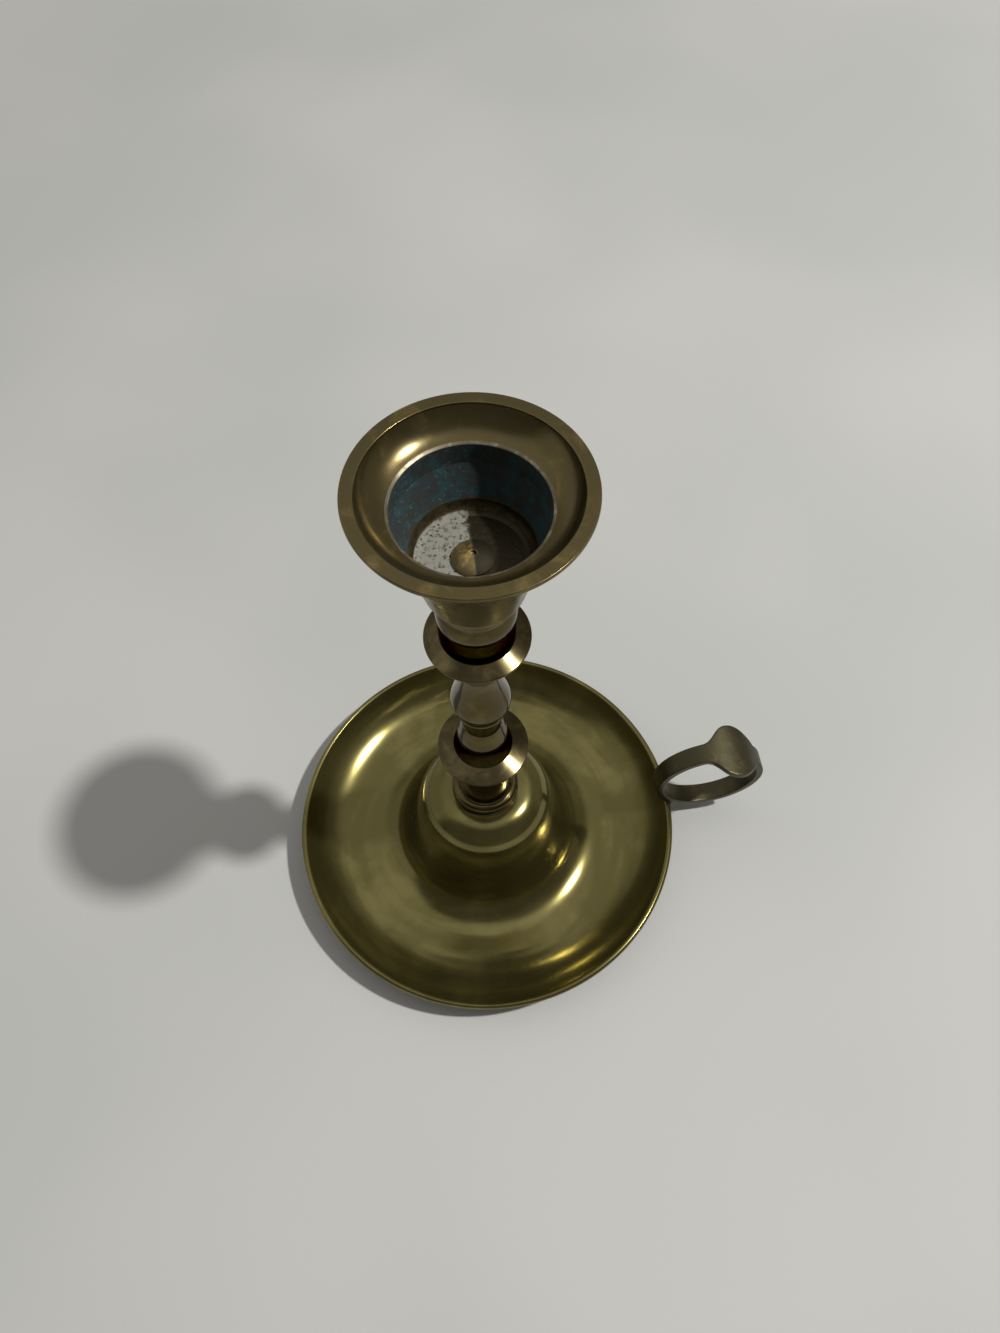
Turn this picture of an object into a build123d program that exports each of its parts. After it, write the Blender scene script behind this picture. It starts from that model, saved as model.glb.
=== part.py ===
from build123d import *
import math
import os

# Brass chamberstick: a turned stem in five sections on a dished drip pan, with a finger loop.
# Millimetres. +Z is up, the origin is the centre of the foot ring on the table, and the loop
# points along +X. Turned pieces are drawn as half outlines, radius across and height up.

# Drip pan
rim_radius = 43.5
rim_height = 8.5
pan_wall = 1.5
foot_inner_radius = 27.0
foot_outer_radius = 30.0
mound_height = 28.3
seat_margin = 0.3
dome_radius = 7.0
dome_sweep = 72.0
skirt_outline_shares = ((0.22, 0.45), (0.49, 0.11))
hollow_steps = 8

# Joints between the turned sections
spigot_radius = 3.1
spigot_length = 1.4
foot_spigot_radius = 3.6
spigot_clearance = 0.05
spigot_end_gap = 0.15

# Stem foot
base_ring_radius = 7.2
base_ring_height = 2.2
base_ring_bulge = 1.0
stem_radius = 5.64
stem_cove_height = 0.8
stem_cove_depth = 0.2
stem_straight_height = 15.25
stem_chamfer = 0.45

# Discs of both knops
disc_land_height = 0.35
disc_underside_height = 1.45

# Lower knop
lower_lead_height = 0.3
lower_disc_radius = 9.1
lower_bevel_height = 1.3
lower_hub_foot_radius = 5.86
lower_hub_height = 3.4
lower_hub_hollow = 0.15
collar_foot_radius = 4.75
collar_top_radius = 4.55
collar_height = 3.2
collar_bulge = 0.25
shoulder_radius = 4.28
shoulder_height = 1.6
waist_radius = 3.8
waist_taper_height = 1.4
waist_height = 4.7
waist_flare_height = 0.6
crown_radius = 4.6
crown_height = 1.1
crown_bulge = 0.25
crown_groove_height = 0.5
vase_joint_radius = 4.2

# Baluster vase
vase_foot_radius = 4.6
vase_foot_height = 0.9
vase_belly_radius = 5.6
vase_undercut_height = 1.3
vase_undercut_bulge = 0.3
vase_body_height = 11.4
vase_neck_radius = 3.75
vase_neck_height = 5.6
vase_lip_height = 0.4
vase_lip_radius = 3.9
vase_body_shares = ((0.77, 0.23), (0.41, 0.46))

# Upper knop
upper_lead_height = 1.0
upper_cove_height = 1.9
upper_cove_depth = 0.3
upper_cove_radius = 5.0
upper_disc_radius = 8.9
upper_bevel_height = 1.2
upper_hub_radius = 6.35
upper_hub_height = 2.6
upper_taper_height = 2.2
upper_taper_radius = 6.0
cup_bead_step = 0.2
cup_bead_foot_radius = 6.25
cup_bead_height = 3.7
cup_bead_bulge = 0.4
cup_bead_top_radius = 6.0
cup_joint_radius = 5.9
cup_joint_chamfer = 0.4

# Outside of the candle cup
cup_neck_radius = 6.2
cup_neck_height = 2.5
cup_ring_radius = 7.4
cup_ring_height = 1.0
cup_ring_bulge = 0.2
cup_ring_cove_height = 1.0
cup_ring_cove_depth = 0.2
cup_groove_height = 0.2
cup_groove_depth = 0.1
cup_body_foot_radius = 8.0
cup_body_height = 14.1
cup_body_hollow = 0.38
cup_waist_radius = 12.6
cup_flare_height = 6.8
cup_flare_hollow = 0.45
lip_radius = 17.25
lip_thickness = 0.8
lip_bulge = 0.12

# Inside of the candle cup
candle_bore_radius = 11.15
candle_bore_length = 3.75
bore_edge_width = 0.45
bore_edge_height = 0.25
lip_land_width = 1.9
lip_step = 0.3
mouth_flare_height = 3.3
mouth_flare_hollow = 0.5
well_taper_height = 5.9
well_taper_radius = 9.25
well_floor_radius = 7.8
well_round_height = 2.2
well_round_depth = 0.5

# Tie bolt, washer and nut
bolt_radius = 2.0
bolt_hole_clearance = 0.2
bolt_head_radius = 3.2
bolt_head_edge = 0.5
bolt_head_dome = 1.1
centre_mark_radius = 0.5
centre_mark_depth = 0.5
bolt_tail = 1.0
bolt_tip_chamfer = 0.4
washer_thickness = 1.2
washer_margin = 0.6
nut_thickness = 3.2
nut_flats = 7.0
nut_chamfer = 0.5
nut_clearance = 0.05

# Finger loop
loop_inner_reach = 10.6
loop_inner_rise = 11.15
strap_thickness = 1.6
strap_width = 4.3
strap_rounding = 0.35
loop_contact_angle = 227.0
loop_bite = 0.15

# Braze that holds the loop on the rim
braze_radius = 1.2
braze_overhang = 0.9

# Thumb rest, where the strap is beaten out wide: plan from its tail to its tip, as shares of its length
# and of how far it stands out past the strap
thumb_tail_offset = 4.2
thumb_tip_offset = 9.3
thumb_half_width = 6.1
thumb_plan_shares = (
    (0.16, 0.05),
    (0.31, 0.47),
    (0.45, 0.89),
    (0.60, 1.00),
    (0.76, 0.84),
    (0.90, 0.46),
)
thumb_tip_heading = (0.25, -1)
thumb_tip_softening = 0.6

# How far cutting tools run past what they cut
overrun = 1.0

# Sizes that follow from the ones above
seat_radius = base_ring_radius + seat_margin
rim_centre_radius = rim_radius - pan_wall / 2
rim_centre_height = rim_height - pan_wall / 2
rim_wall_sweep = 2 * math.atan((rim_centre_height - pan_wall / 2) / (rim_centre_radius - foot_outer_radius))
rim_wall_radius = (rim_centre_radius - foot_outer_radius) / math.sin(rim_wall_sweep)
bolt_hole_radius = bolt_radius + bolt_hole_clearance
socket_radius = spigot_radius + spigot_clearance
socket_depth = spigot_length + spigot_end_gap
foot_spigot_length = pan_wall - spigot_end_gap
stem_joint_radius = stem_radius - stem_chamfer
loop_reach = loop_inner_reach + strap_thickness
loop_rise = loop_inner_rise + strap_thickness

# Sides of the turned pieces, from the foot up: height, radius at the end, bulge
stem_foot_sides = [
    (base_ring_height, base_ring_radius - base_ring_bulge, base_ring_bulge),
    (stem_cove_height, stem_radius, -stem_cove_depth),
    (stem_straight_height, stem_radius, 0),
    (stem_chamfer, stem_joint_radius, 0),
]
lower_knop_sides = [
    (lower_lead_height, stem_joint_radius, 0),
    (disc_underside_height, lower_disc_radius, 0),
    (disc_land_height, lower_disc_radius, 0),
    (lower_bevel_height, lower_hub_foot_radius, 0),
    (lower_hub_height, collar_foot_radius, -lower_hub_hollow),
    (collar_height, collar_top_radius, collar_bulge),
    (shoulder_height, shoulder_radius, 0),
    (waist_taper_height, waist_radius, 0),
    (waist_height, waist_radius, 0),
    (waist_flare_height, crown_radius, 0),
    (crown_height, crown_radius, crown_bulge),
    (crown_groove_height, vase_joint_radius, 0),
]
upper_knop_sides = [
    (upper_lead_height, vase_lip_radius, 0),
    (upper_cove_height, upper_cove_radius, -upper_cove_depth),
    (disc_underside_height, upper_disc_radius, 0),
    (disc_land_height, upper_disc_radius, 0),
    (upper_bevel_height, upper_hub_radius, 0),
    (upper_hub_height, upper_hub_radius, 0),
    (upper_taper_height, upper_taper_radius, 0),
    (cup_bead_step, cup_bead_foot_radius, 0),
    (cup_bead_height, cup_bead_top_radius, cup_bead_bulge),
    (cup_joint_chamfer, cup_joint_radius, 0),
]
cup_outer_sides = [
    (cup_neck_height, cup_neck_radius, 0),
    (cup_ring_cove_height, cup_ring_radius, -cup_ring_cove_depth),
    (cup_ring_height, cup_ring_radius, cup_ring_bulge),
    (cup_groove_height, cup_ring_radius - cup_groove_depth, 0),
    (cup_groove_height, cup_body_foot_radius, 0),
    (cup_body_height, cup_waist_radius, -cup_body_hollow),
    (cup_flare_height, lip_radius, -cup_flare_hollow),
    (lip_thickness, lip_radius, lip_bulge),
]

# Sides of the candle well, from the lip down to its floor
cup_inner_sides = [
    (0, lip_radius - lip_land_width, 0),
    (-lip_step, lip_radius - lip_land_width, 0),
    (-mouth_flare_height, candle_bore_radius + bore_edge_width, -mouth_flare_hollow),
    (-bore_edge_height, candle_bore_radius, 0),
    (-candle_bore_length, candle_bore_radius, 0),
    (-well_taper_height, well_taper_radius, 0),
    (-well_round_height, well_floor_radius, -well_round_depth),
    (0, bolt_hole_radius, 0),
]


def total(sides):
    """Height of a run of sides."""
    return sum(height for height, radius, bulge in sides)


# Levels above the table where each piece stands
lower_knop_base = mound_height + total(stem_foot_sides)
vase_base = lower_knop_base + total(lower_knop_sides)
vase_belly_level = vase_foot_height + vase_undercut_height
vase_neck_level = vase_belly_level + vase_body_height
vase_length = vase_neck_level + vase_neck_height + vase_lip_height
upper_knop_base = vase_base + vase_length
cup_base = upper_knop_base + total(upper_knop_sides)
cup_length = total(cup_outer_sides)
well_floor = cup_base + cup_length + total(cup_inner_sides)
washer_base = mound_height - pan_wall - washer_thickness
nut_base = washer_base - nut_thickness
bolt_tip = nut_base - bolt_tail


def side(start, end, bulge):
    """One side of an outline: straight, swelling with a bulge or hollow with a negative one."""
    return SagittaArc(start, end, -bulge) if bulge else Line(start, end)


def outline(start, sides):
    """Join sides into a run from a start point."""
    edges = []
    for height, radius, bulge in sides:
        end = (radius, start[1] + height)
        edges.append(side(start, end, bulge))
        start = end
    return edges


def turn(edges):
    """Turn a closed half outline about the stem's axis."""
    return revolve(Plane.XZ * make_face(edges), Axis.Z)


def turn_section(edges, length, foot_radius, foot_length):
    """Turn a stem section with the bolt's hole, a socket in its top and a spigot at its foot."""
    bore = Polyline(
        edges[-1] @ 1,
        (socket_radius, length),
        (socket_radius, length - socket_depth),
        (bolt_hole_radius, length - socket_depth),
        (bolt_hole_radius, -foot_length),
        (foot_radius, -foot_length),
        (foot_radius, 0),
        edges[0] @ 0,
    )
    return turn([*edges, bore])


def under(curve, share, depth):
    """A point below a curve that runs outwards, a depth along its normal."""
    along = curve % share
    return curve @ share + Vector(along.Y, -along.X) * depth


def rim_wall(depth):
    """Arc from the trough up to the rim, a depth below the pan's upper side."""
    return CenterArc(
        (foot_outer_radius, pan_wall / 2 + rim_wall_radius),
        rim_wall_radius - pan_wall / 2 + depth,
        start_angle=270,
        arc_size=math.degrees(rim_wall_sweep),
    )


def mound_dome(depth):
    """Arc that turns down from the stem's seat, a depth below the pan's upper side."""
    centre = (seat_radius, mound_height - dome_radius)
    return CenterArc(centre, dome_radius - depth, start_angle=90, arc_size=-dome_sweep)


def drip_pan():
    """Dished pan: the domed mound that carries the stem, its skirt, the trough, rim and foot."""
    dome = mound_dome(0)
    skirt_top = dome @ 1
    skirt_points = [skirt_top]
    for run_share, rise_share in skirt_outline_shares:
        radius = skirt_top.X + run_share * (foot_inner_radius - skirt_top.X)
        skirt_points.append((radius, pan_wall + rise_share * (skirt_top.Y - pan_wall)))
    skirt_points.append((foot_inner_radius, pan_wall))
    skirt = Spline(*skirt_points, tangents=[dome % 1, (1, 0)])
    hollow_dome = mound_dome(pan_wall)
    hollow_points = [under(skirt, step / hollow_steps, pan_wall) for step in range(1, hollow_steps + 1)]
    hollow_skirt = Spline(hollow_dome @ 1, *hollow_points, tangents=[dome % 1, (1, 0)])
    inner_wall = rim_wall(0)
    outer_wall = rim_wall(pan_wall)
    rim_tip = Vector(rim_centre_radius, rim_centre_height) + (inner_wall % 1) * (pan_wall / 2)
    rim = ThreePointArc(inner_wall @ 1, rim_tip, outer_wall @ 1)
    trough = Line(skirt @ 1, inner_wall @ 0)
    foot = Line(hollow_skirt @ 1, outer_wall @ 0)
    hole_radius = foot_spigot_radius + spigot_clearance
    seat = Polyline(
        dome @ 0,
        (hole_radius, mound_height),
        (hole_radius, mound_height - pan_wall),
        hollow_dome @ 0,
    )
    return turn([seat, dome, skirt, trough, inner_wall, rim, outer_wall, foot, hollow_skirt, hollow_dome])


def stem_foot():
    """Straight foot of the stem on its base ring, with a spigot through the pan's seat."""
    edges = outline((base_ring_radius - base_ring_bulge, 0), stem_foot_sides)
    foot = turn_section(edges, total(stem_foot_sides), foot_spigot_radius, foot_spigot_length)
    return Pos(0, 0, mound_height) * foot


def lower_knop():
    """Disc knop with its collar, the waist above it and the crown that carries the vase."""
    edges = outline((stem_joint_radius, 0), lower_knop_sides)
    knop = turn_section(edges, total(lower_knop_sides), spigot_radius, spigot_length)
    return Pos(0, 0, lower_knop_base) * knop


def baluster():
    """Vase-shaped section, widest low down, that draws in to a slim neck."""
    foot = outline((vase_joint_radius, 0), [(vase_foot_height, vase_foot_radius, 0)])
    undercut = side(foot[-1] @ 1, (vase_belly_radius, vase_belly_level), vase_undercut_bulge)
    body_points = [undercut @ 1]
    for swell_share, height_share in vase_body_shares:
        radius = vase_neck_radius + swell_share * (vase_belly_radius - vase_neck_radius)
        body_points.append((radius, vase_belly_level + height_share * vase_body_height))
    body_points.append((vase_neck_radius, vase_neck_level))
    body = Spline(*body_points, tangents=[(0, 1), (0, 1)])
    neck = outline(
        (vase_neck_radius, vase_neck_level),
        [(vase_neck_height, vase_neck_radius, 0), (vase_lip_height, vase_lip_radius, 0)],
    )
    edges = [*foot, undercut, body, *neck]
    return Pos(0, 0, vase_base) * turn_section(edges, vase_length, spigot_radius, spigot_length)


def upper_knop():
    """Disc knop on a cove, with the hub and the bead that carry the cup."""
    edges = outline((vase_lip_radius, 0), upper_knop_sides)
    knop = turn_section(edges, total(upper_knop_sides), spigot_radius, spigot_length)
    return Pos(0, 0, upper_knop_base) * knop


def candle_cup():
    """Cup with a flared mouth, a straight candle bore and a tapered well down to the bolt."""
    outside = outline((cup_joint_radius, 0), cup_outer_sides)
    inside = outline((lip_radius, cup_length), cup_inner_sides)
    foot = Polyline(
        inside[-1] @ 1,
        (bolt_hole_radius, -spigot_length),
        (spigot_radius, -spigot_length),
        (spigot_radius, 0),
        outside[0] @ 0,
    )
    return Pos(0, 0, cup_base) * turn([*outside, *inside, foot])


def dome(radius, seat, crown):
    """Half outline of a domed head, from its edge on a seat level to its crown on the axis."""
    height = crown - seat
    sphere_radius = (radius**2 + height**2) / (2 * height)
    return RadiusArc((radius, seat), (0, crown), -sphere_radius)


def tie_bolt():
    """Long bolt from the floor of the candle well to the nut, with a centre mark in its dome."""
    shoulder = well_floor + bolt_head_edge
    crown = shoulder + bolt_head_dome
    shank = Polyline(
        (0, crown - centre_mark_depth),
        (0, bolt_tip),
        (bolt_radius - bolt_tip_chamfer, bolt_tip),
        (bolt_radius, bolt_tip + bolt_tip_chamfer),
        (bolt_radius, well_floor),
        (bolt_head_radius, well_floor),
        (bolt_head_radius, shoulder),
    )
    head = dome(bolt_head_radius, shoulder, crown)
    bolt = turn([shank, head, Line(head @ 1, shank @ 0)])
    mark = Pos(0, 0, crown) * Cylinder(centre_mark_radius, 2 * centre_mark_depth)
    return bolt - mark


def tie_washer():
    """Plain washer under the pan's seat."""
    ring = Circle(seat_radius - washer_margin) - Circle(bolt_hole_radius)
    return Pos(0, 0, washer_base) * extrude(ring, washer_thickness)


def tie_nut():
    """Hexagon nut with chamfered corners under the washer."""
    hexagon = RegularPolygon(nut_flats / 2, 6, major_radius=False) - Circle(bolt_radius + nut_clearance)
    corner_radius = nut_flats / math.sqrt(3)
    chamfered = turn(
        Polyline(
            (0, 0),
            (corner_radius - nut_chamfer, 0),
            (corner_radius, nut_chamfer / 2),
            (corner_radius, nut_thickness - nut_chamfer / 2),
            (corner_radius - nut_chamfer, nut_thickness),
            (0, nut_thickness),
            close=True,
        )
    )
    return Pos(0, 0, nut_base) * (extrude(hexagon, nut_thickness) & chamfered)


def ring_point(angle):
    """Point of the strap's outer ellipse, from the loop's centre."""
    return Vector(loop_reach * math.cos(angle), 0, loop_rise * math.sin(angle))


def ring_normal(angle):
    """Outward direction of the strap's outer ellipse."""
    return Vector(math.cos(angle) / loop_reach, 0, math.sin(angle) / loop_rise).normalized()


def loop_contact():
    """Point where the strap bites into the rounded rim."""
    normal = ring_normal(math.radians(loop_contact_angle))
    return Vector(rim_centre_radius, 0, rim_centre_height) - normal * (pan_wall / 2 - loop_bite)


def loop_centre():
    """Centre of the finger hole."""
    return loop_contact() - ring_point(math.radians(loop_contact_angle))


def loop_band(inner_growth, outer_growth, width):
    """Elliptical band about the loop's centre, between two growths of the strap's outer ellipse, seam down."""
    outer = Ellipse(loop_reach + outer_growth, loop_rise + outer_growth)
    inner = Ellipse(loop_reach + inner_growth, loop_rise + inner_growth)
    return Location(loop_centre()) * Rot(0, 180, 0) * extrude(Plane.XZ * (outer - inner), width / 2, both=True)


def thumb_plan():
    """Plan of the strap's upper half: straight, but wide at the thumb rest."""
    half_width = strap_width / 2
    length = thumb_tail_offset + thumb_tip_offset
    points = [(-thumb_tail_offset, half_width)]
    for along_share, across_share in thumb_plan_shares:
        across = half_width + across_share * (thumb_half_width - half_width)
        points.append((along_share * length - thumb_tail_offset, across))
    points.append((thumb_tip_offset, half_width))
    edge = Spline(*points, tangents=[(1, 0), thumb_tip_heading])
    end = loop_reach + overrun
    half = [Line((-end, 0), (-end, half_width)), Line((-end, half_width), edge @ 0), edge]
    half += [Line(edge @ 1, (end, half_width)), Line((end, half_width), (end, 0))]
    plan = make_face([*half, *[mirror(line, Plane.XZ) for line in half]])
    corners = [corner for corner in plan.vertices() if math.isclose(corner.X, thumb_tip_offset, abs_tol=1e-3)]
    return fillet(corners, thumb_tip_softening)


def strap():
    """Rounded strap ring, widened to the thumb rest, before it is fitted to the rim."""
    height = loop_rise + overrun
    upper = extrude(thumb_plan(), height)
    lower = Pos(0, 0, -height / 2) * Box(2 * (loop_reach + overrun), strap_width, height)
    band = loop_band(-strap_thickness, 0, 2 * (thumb_half_width + overrun))
    ring = band & Location(loop_centre()) * (upper + lower)
    return fillet(ring.edges().filter_by(GeomType.LINE, reverse=True), strap_rounding)


def finger_loop():
    """Strap ring, hollowed where it sits on the rim."""
    return strap() - drip_pan()


def loop_braze():
    """Braze metal that fills the corners between the strap and the rim."""
    half_width = strap_width / 2 + braze_overhang
    swell = EllipticalCenterArc((0, 0), braze_radius, half_width, start_angle=-90, arc_size=180)
    drop = turn([swell, Line(swell @ 1, swell @ 0)])
    return Location(loop_contact()) * Rot(90, 0, 0) * drop - strap() - drip_pan()


pieces = {
    "drip_pan": drip_pan(),
    "stem_foot": stem_foot(),
    "lower_knop": lower_knop(),
    "baluster": baluster(),
    "upper_knop": upper_knop(),
    "candle_cup": candle_cup(),
    "tie_bolt": tie_bolt(),
    "tie_washer": tie_washer(),
    "tie_nut": tie_nut(),
    "finger_loop": finger_loop(),
    "loop_braze": loop_braze(),
}

os.makedirs("parts", exist_ok=True)
for name, piece in pieces.items():
    export_step(piece, f"parts/{name}.step")
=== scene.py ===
"""Looks of the brass chamberstick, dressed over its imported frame.

Lengths are in millimetres where they are sizes of the part, and in metres where Blender takes them.
"""

import logging
import math
from collections.abc import Callable
from dataclasses import dataclass, field, fields
from enum import Enum

import bpy
import numpy as np
from mathutils import Matrix, Vector


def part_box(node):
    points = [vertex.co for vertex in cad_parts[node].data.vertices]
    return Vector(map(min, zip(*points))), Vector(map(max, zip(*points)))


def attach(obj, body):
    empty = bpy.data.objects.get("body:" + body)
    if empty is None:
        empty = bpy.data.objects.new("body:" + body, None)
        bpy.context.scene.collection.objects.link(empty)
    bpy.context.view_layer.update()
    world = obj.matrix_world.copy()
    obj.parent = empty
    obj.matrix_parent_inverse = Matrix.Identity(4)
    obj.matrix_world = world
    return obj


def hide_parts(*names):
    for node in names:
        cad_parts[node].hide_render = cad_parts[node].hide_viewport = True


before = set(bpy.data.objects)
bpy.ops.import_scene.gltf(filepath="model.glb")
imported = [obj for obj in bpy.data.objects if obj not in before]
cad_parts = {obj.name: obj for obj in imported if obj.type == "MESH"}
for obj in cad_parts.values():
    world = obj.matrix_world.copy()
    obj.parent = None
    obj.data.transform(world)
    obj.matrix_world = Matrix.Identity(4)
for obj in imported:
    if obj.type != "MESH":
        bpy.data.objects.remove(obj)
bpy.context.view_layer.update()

Colour = tuple[float, float, float]
Point = tuple[float, float]

MM = 0.001
FULL_TURN = 2 * math.pi
NOISE_MIDDLE = 0.5
BODY = "root"

log = logging.getLogger("chamberstick")


# ---------------------------------------------------------------- outlines


@dataclass(frozen=True)
class Side:
    """One side of a turned outline: its rise, the radius at its end and its swell."""

    rise: float
    radius: float
    swell: float = 0.0


class Outline:
    """Half outline of a turned piece, as points of radius and level in millimetres."""

    arc_step = 0.3
    corner_turn = math.radians(12)
    corner_share = 0.45
    corner_steps = 4
    flat_share = 1.5

    def __init__(self, radius: float, level: float) -> None:
        """Start the outline at a point."""
        self.points: list[Point] = [(radius, level)]

    def to(self, radius: float, level: float) -> "Outline":
        """Run straight to a point."""
        self.points.append((radius, level))
        return self

    def side(self, side: Side) -> "Outline":
        """Add one side, an arc where it swells or, with a negative swell, hollows.

        Args:
            side: The side to add, from where the outline ends.

        Returns:
            The outline itself.
        """
        start = Vector(self.points[-1])
        end = Vector((side.radius, start.y + side.rise))
        if not side.swell:
            return self.to(end.x, end.y)
        chord = end - start
        along = chord.normalized()
        out = Vector((along.y, -along.x)) * math.copysign(1, side.swell)
        sagitta = abs(side.swell)
        radius = (chord.length_squared / 4 + sagitta**2) / (2 * sagitta)
        half = 2 * math.atan(2 * sagitta / chord.length)
        count = max(6, math.ceil(2 * half * radius / self.arc_step))
        for number in range(1, count + 1):
            angle = half * (2 * number / count - 1)
            forward = chord.length / 2 + radius * math.sin(angle)
            height = radius * (math.cos(angle) - math.cos(half))
            self.points.append(tuple(start + along * forward + out * height))
        return self

    def sides(self, sides: list[Side]) -> "Outline":
        """Add a run of sides."""
        for side in sides:
            self.side(side)
        return self

    def through(
        self, points: list[Point], heading: Point, count: int, last_heading: Point | None = None
    ) -> "Outline":
        """Add a smooth curve through points.

        Args:
            points: Points of radius and level after the outline's end.
            heading: Direction of the curve where it starts.
            count: Steps in each span.
            last_heading: Direction where it ends, the same as at its start unless given.

        Returns:
            The outline itself.
        """
        knots = np.array([self.points[-1], *points])
        spans = np.linalg.norm(np.diff(knots, axis=0), axis=1)
        size = len(knots)
        system, right = np.eye(size), np.tile(np.array(heading, float), (size, 1))
        for row in range(1, size - 1):
            before, after = spans[row - 1], spans[row]
            system[row, row - 1 : row + 2] = 1 / before, 2 / before + 2 / after, 1 / after
            right[row] = 3 * (knots[row + 1] - knots[row]) / after**2
            right[row] += 3 * (knots[row] - knots[row - 1]) / before**2
        right[-1] = last_heading or heading
        slopes = np.linalg.solve(system, right)
        for span, length in enumerate(spans):
            for number in range(1, count + 1):
                t = number / count
                point = (2 * t**3 - 3 * t**2 + 1) * knots[span]
                point = point + (3 * t**2 - 2 * t**3) * knots[span + 1]
                point = point + length * (t**3 - 2 * t**2 + t) * slopes[span]
                point = point + length * (t**3 - t**2) * slopes[span + 1]
                self.points.append((float(point[0]), float(point[1])))
        return self

    def ellipse(
        self, centre: Point, reach: Point, start: float, end: float, count: int
    ) -> "Outline":
        """Add part of an ellipse.

        Args:
            centre: Centre in radius and level.
            reach: Half widths across and up.
            start: First angle in degrees.
            end: Last angle in degrees.
            count: Steps along it.

        Returns:
            The outline itself.
        """
        for number in range(count + 1):
            angle = math.radians(start + (end - start) * number / count)
            self.to(centre[0] + reach[0] * math.cos(angle), centre[1] + reach[1] * math.sin(angle))
        return self

    def softened(self, radius: float) -> "Outline":
        """Round every corner, as polishing does.

        Args:
            radius: Radius of the rounding in millimetres, less where a side is short.

        Returns:
            A new outline.
        """
        kept = [Vector(self.points[0])]
        for point in self.points[1:]:
            if (Vector(point) - kept[-1]).length > MM:
                kept.append(Vector(point))
        soft = Outline(*kept[0])
        for before, corner, after in zip(kept, kept[1:], kept[2:]):
            inward, outward = before - corner, after - corner
            turn = math.pi - inward.angle(outward)
            if turn < self.corner_turn:
                soft.to(*corner)
                continue
            shorter = min(inward.length, outward.length)
            reach = min(radius * math.tan(turn / 2), self.corner_share * shorter)
            first, last = (corner + side.normalized() * reach for side in (inward, outward))
            flat = [min(reach * self.flat_share, side.length / 2) for side in (inward, outward)]
            soft.to(*(corner + inward.normalized() * flat[0]))
            for number in range(self.corner_steps + 1):
                t = number / self.corner_steps
                soft.to(*(first * (1 - t) ** 2 + corner * 2 * t * (1 - t) + last * t**2))
            soft.to(*(corner + outward.normalized() * flat[1]))
        return soft.to(*kept[-1])


# ---------------------------------------------------------------- bench


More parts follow.
